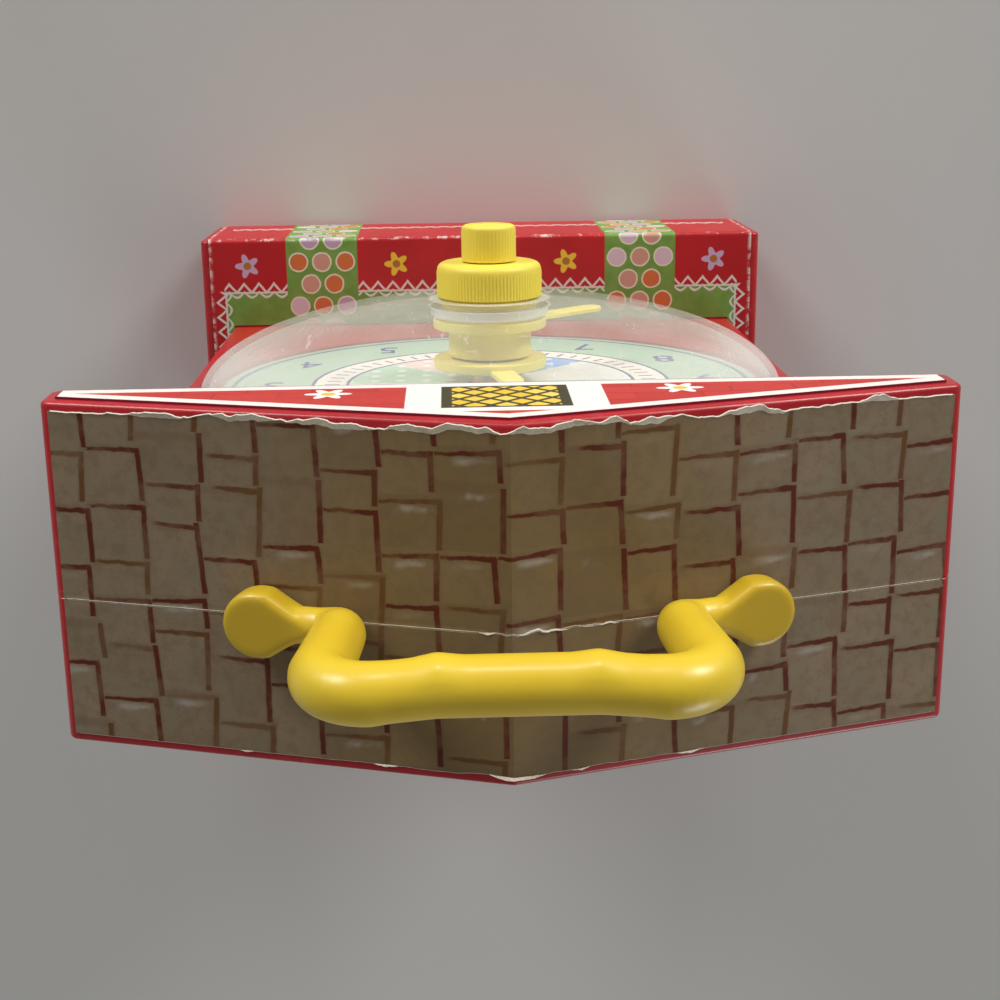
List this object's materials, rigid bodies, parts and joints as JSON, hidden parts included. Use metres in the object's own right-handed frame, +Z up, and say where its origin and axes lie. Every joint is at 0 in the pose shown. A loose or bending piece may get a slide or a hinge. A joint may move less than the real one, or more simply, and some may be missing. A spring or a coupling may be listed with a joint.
{
  "type": "toy teaching clock",
  "caption": "Gabled toy teaching clock with a domed dial, geared hands, setting and winding knobs, a carrying handle and a wind-up musical movement.",
  "frame": {"origin": "centre of the base's underside, on the surface that the clock stands on", "axes": "+Z up to the roof, -Y out of the dial towards the viewer, +X to the viewer's right"},
  "size_m": [0.158, 0.0807, 0.2775],
  "materials": {
    "red_plastic": "glossy moulded red plastic, lightly scuffed at the edges",
    "yellow_plastic": "glossy moulded yellow plastic",
    "clear_plastic": "clear moulded plastic with a faint haze and fine scratches",
    "dial_print": "printed paper card with pastel segments and plain numbers",
    "roof_print": "cream printed paper with red-brown shingle lines, worn at the edges",
    "house_print": "red printed paper with a brick pattern",
    "garden_print": "printed paper, red and green with a white lace border",
    "steel": "plain steel",
    "cast_bracket": "die-cast bracket",
    "brass": "plain brass",
    "dark_plastic": "dark moulded plastic"
  },
  "bodies": {
    "case": {"front_shell": "red_plastic", "rear_shell": "red_plastic", "case_screws": "steel", "handle": "yellow_plastic", "dome": "clear_plastic", "dial_card": "dial_print", "roof_label_front": "roof_print", "roof_label_rear": "roof_print", "pediment_label": "house_print", "base_label": "garden_print", "side_label_left": "house_print", "side_label_right": "house_print", "front_plate": "steel", "back_plate": "steel", "plate_pillars": "brass", "movement_screws": "steel", "motion_stud": "steel", "click_spring": "steel", "click_screw": "steel", "comb": "steel", "comb_bracket": "cast_bracket", "comb_screws": "steel"},
    "minute": {"setting_knob": "yellow_plastic", "minute_hand": "yellow_plastic", "cannon_pinion": "brass"},
    "hour": {"hour_hand": "yellow_plastic", "hour_wheel": "brass"},
    "motion": {"motion_wheel": "brass"},
    "winding": {"winding_knob": "yellow_plastic", "winding_arbor": "steel", "ratchet_wheel": "steel"},
    "barrel": {"spring_barrel": "brass", "barrel_cover": "brass", "mainspring": "steel"},
    "drum": {"music_drum": "brass", "drum_arbor": "steel", "drum_pinion": "brass", "drum_wheel": "brass"},
    "idler": {"idler_arbor": "steel", "idler_pinion": "brass", "idler_wheel": "brass"},
    "governor": {"governor_spindle": "steel", "governor_pinion": "brass", "governor_fan": "dark_plastic"}
  },
  "joints": [
    {"name": "minute_turn", "type": "hinge", "parent": "case", "child": "minute", "pos_m": [0, 0, 0.12725], "axis": [0, 1, 0], "continuous": true},
    {"name": "hour_turn", "type": "hinge", "parent": "case", "child": "hour", "pos_m": [0, 0, 0.12725], "axis": [0, 1, 0], "continuous": true},
    {"name": "motion_turn", "type": "hinge", "parent": "case", "child": "motion", "pos_m": [0.018, 0, 0.12725], "axis": [0, 1, 0], "continuous": true},
    {"name": "winding_turn", "type": "hinge", "parent": "case", "child": "winding", "pos_m": [0, 0, 0.12725], "axis": [0, 1, 0], "range_deg": [0, 1950]},
    {"name": "barrel_turn", "type": "hinge", "parent": "case", "child": "barrel", "pos_m": [0, 0, 0.12725], "axis": [0, 1, 0], "continuous": true},
    {"name": "drum_turn", "type": "hinge", "parent": "case", "child": "drum", "pos_m": [0, 0, 0.09845], "axis": [0, 1, 0], "continuous": true},
    {"name": "idler_turn", "type": "hinge", "parent": "case", "child": "idler", "pos_m": [-0.01353, 0, 0.09352], "axis": [0, 1, 0], "continuous": true},
    {"name": "governor_turn", "type": "hinge", "parent": "case", "child": "governor", "pos_m": [-0.02793, 0, 0.09352], "axis": [0, 1, 0], "continuous": true}
  ],
  "couplings": [
    {"joint": "hour_turn", "follows": "minute_turn", "ratio": 0.083333},
    {"joint": "motion_turn", "follows": "minute_turn", "ratio": -0.33333},
    {"joint": "drum_turn", "follows": "barrel_turn", "ratio": -3},
    {"joint": "idler_turn", "follows": "barrel_turn", "ratio": 9},
    {"joint": "governor_turn", "follows": "barrel_turn", "ratio": -27}
  ]
}
